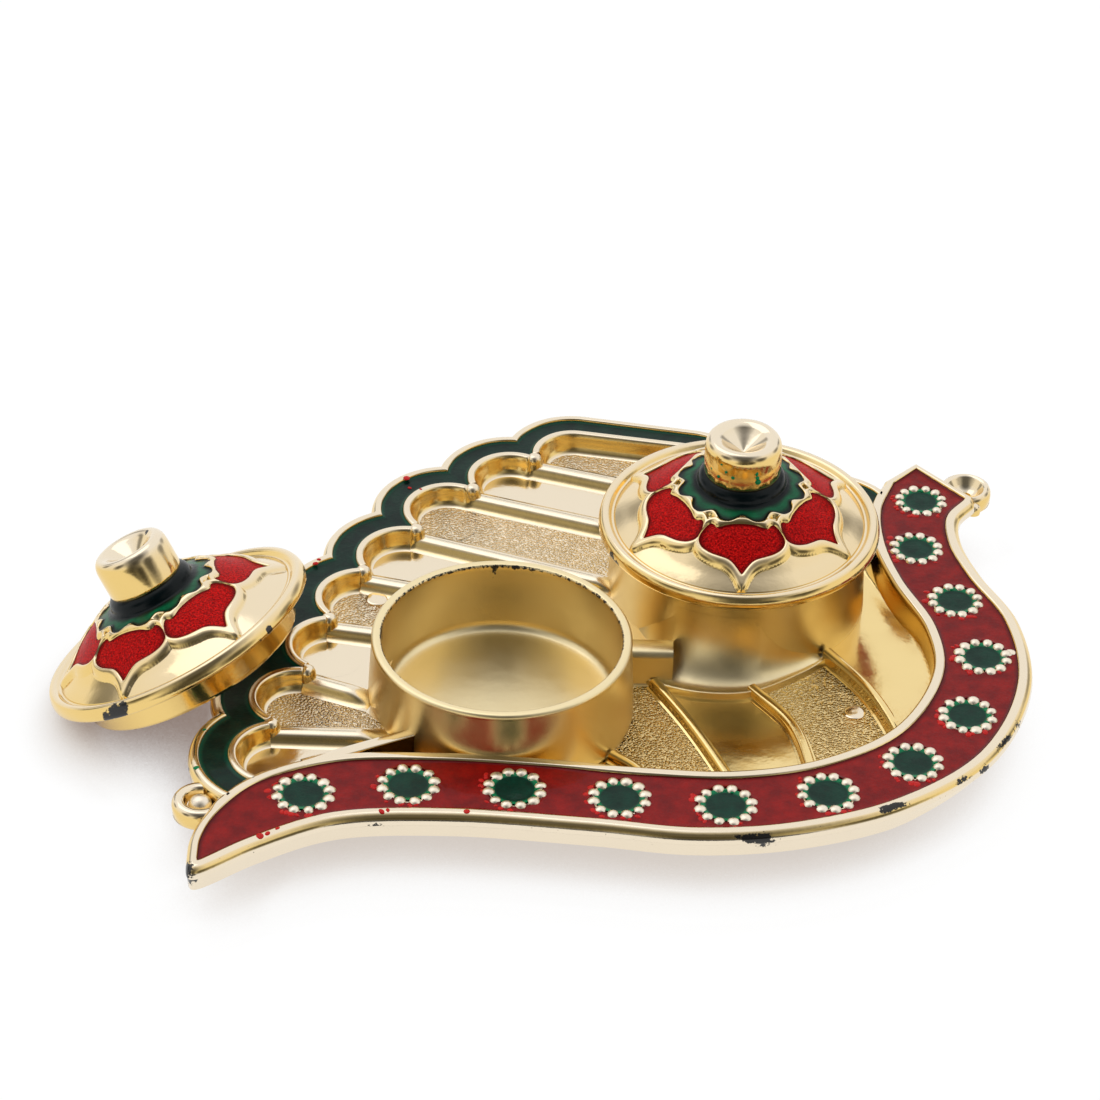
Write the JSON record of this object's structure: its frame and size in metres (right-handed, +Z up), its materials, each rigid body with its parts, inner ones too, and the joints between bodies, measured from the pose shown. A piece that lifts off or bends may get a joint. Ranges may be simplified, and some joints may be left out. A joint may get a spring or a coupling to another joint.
{
  "type": "lidded kumkum platter",
  "caption": "Leaf-shaped metallised tray with an enamelled lotus border, shallow wells and two round cups let into it, and two lotus lids with knobs, one seated and one leaning on the rim.",
  "frame": {"origin": "centre of the set's outline on the table plane, under the foot of the tray", "axes": "+X along the leaf from the tail to the rounded end, +Y away from the viewer towards the lobed edge, +Z up out of the cups"},
  "size_m": [0.0994, 0.0802, 0.0244],
  "materials": {
    "gold_plate": "bright champagne-gold metallised coat over moulded plastic, worn to dark specks at the edges",
    "red_enamel": "glossy translucent red lacquer poured by hand into recesses",
    "green_enamel": "glossy translucent dark green lacquer poured by hand into recesses"
  },
  "bodies": {
    "platter": {"tray": "gold_plate", "cup_open": "gold_plate", "cup_lidded": "gold_plate", "band_enamel": "red_enamel", "channel_enamel": "green_enamel", "rosette_drop_01": "green_enamel", "rosette_drop_02": "green_enamel", "rosette_drop_03": "green_enamel", "rosette_drop_04": "green_enamel", "rosette_drop_05": "green_enamel", "rosette_drop_06": "green_enamel", "rosette_drop_07": "green_enamel", "rosette_drop_08": "green_enamel", "rosette_drop_09": "green_enamel", "rosette_drop_10": "green_enamel", "rosette_drop_11": "green_enamel", "rosette_drop_12": "green_enamel"},
    "seated_lid": {"seated_lid_centre_enamel": "green_enamel", "seated_lid_knob": "gold_plate", "seated_lid_petal_1": "red_enamel", "seated_lid_petal_2": "red_enamel", "seated_lid_petal_3": "red_enamel", "seated_lid_petal_4": "red_enamel", "seated_lid_petal_5": "red_enamel", "seated_lid_petal_6": "red_enamel", "seated_lid_shell": "gold_plate"},
    "loose_lid": {"loose_lid_centre_enamel": "green_enamel", "loose_lid_knob": "gold_plate", "loose_lid_petal_1": "red_enamel", "loose_lid_petal_2": "red_enamel", "loose_lid_petal_3": "red_enamel", "loose_lid_petal_4": "red_enamel", "loose_lid_petal_5": "red_enamel", "loose_lid_petal_6": "red_enamel", "loose_lid_shell": "gold_plate"}
  },
  "joints": [
    {"name": "seated_lid_lift", "type": "slide", "parent": "platter", "child": "seated_lid", "axis": [0, 0, 1], "range_m": [0, 0.03]},
    {"name": "loose_lid_lift", "type": "slide", "parent": "platter", "child": "loose_lid", "axis": [0, 0, 1], "range_m": [0, 0.03]}
  ]
}
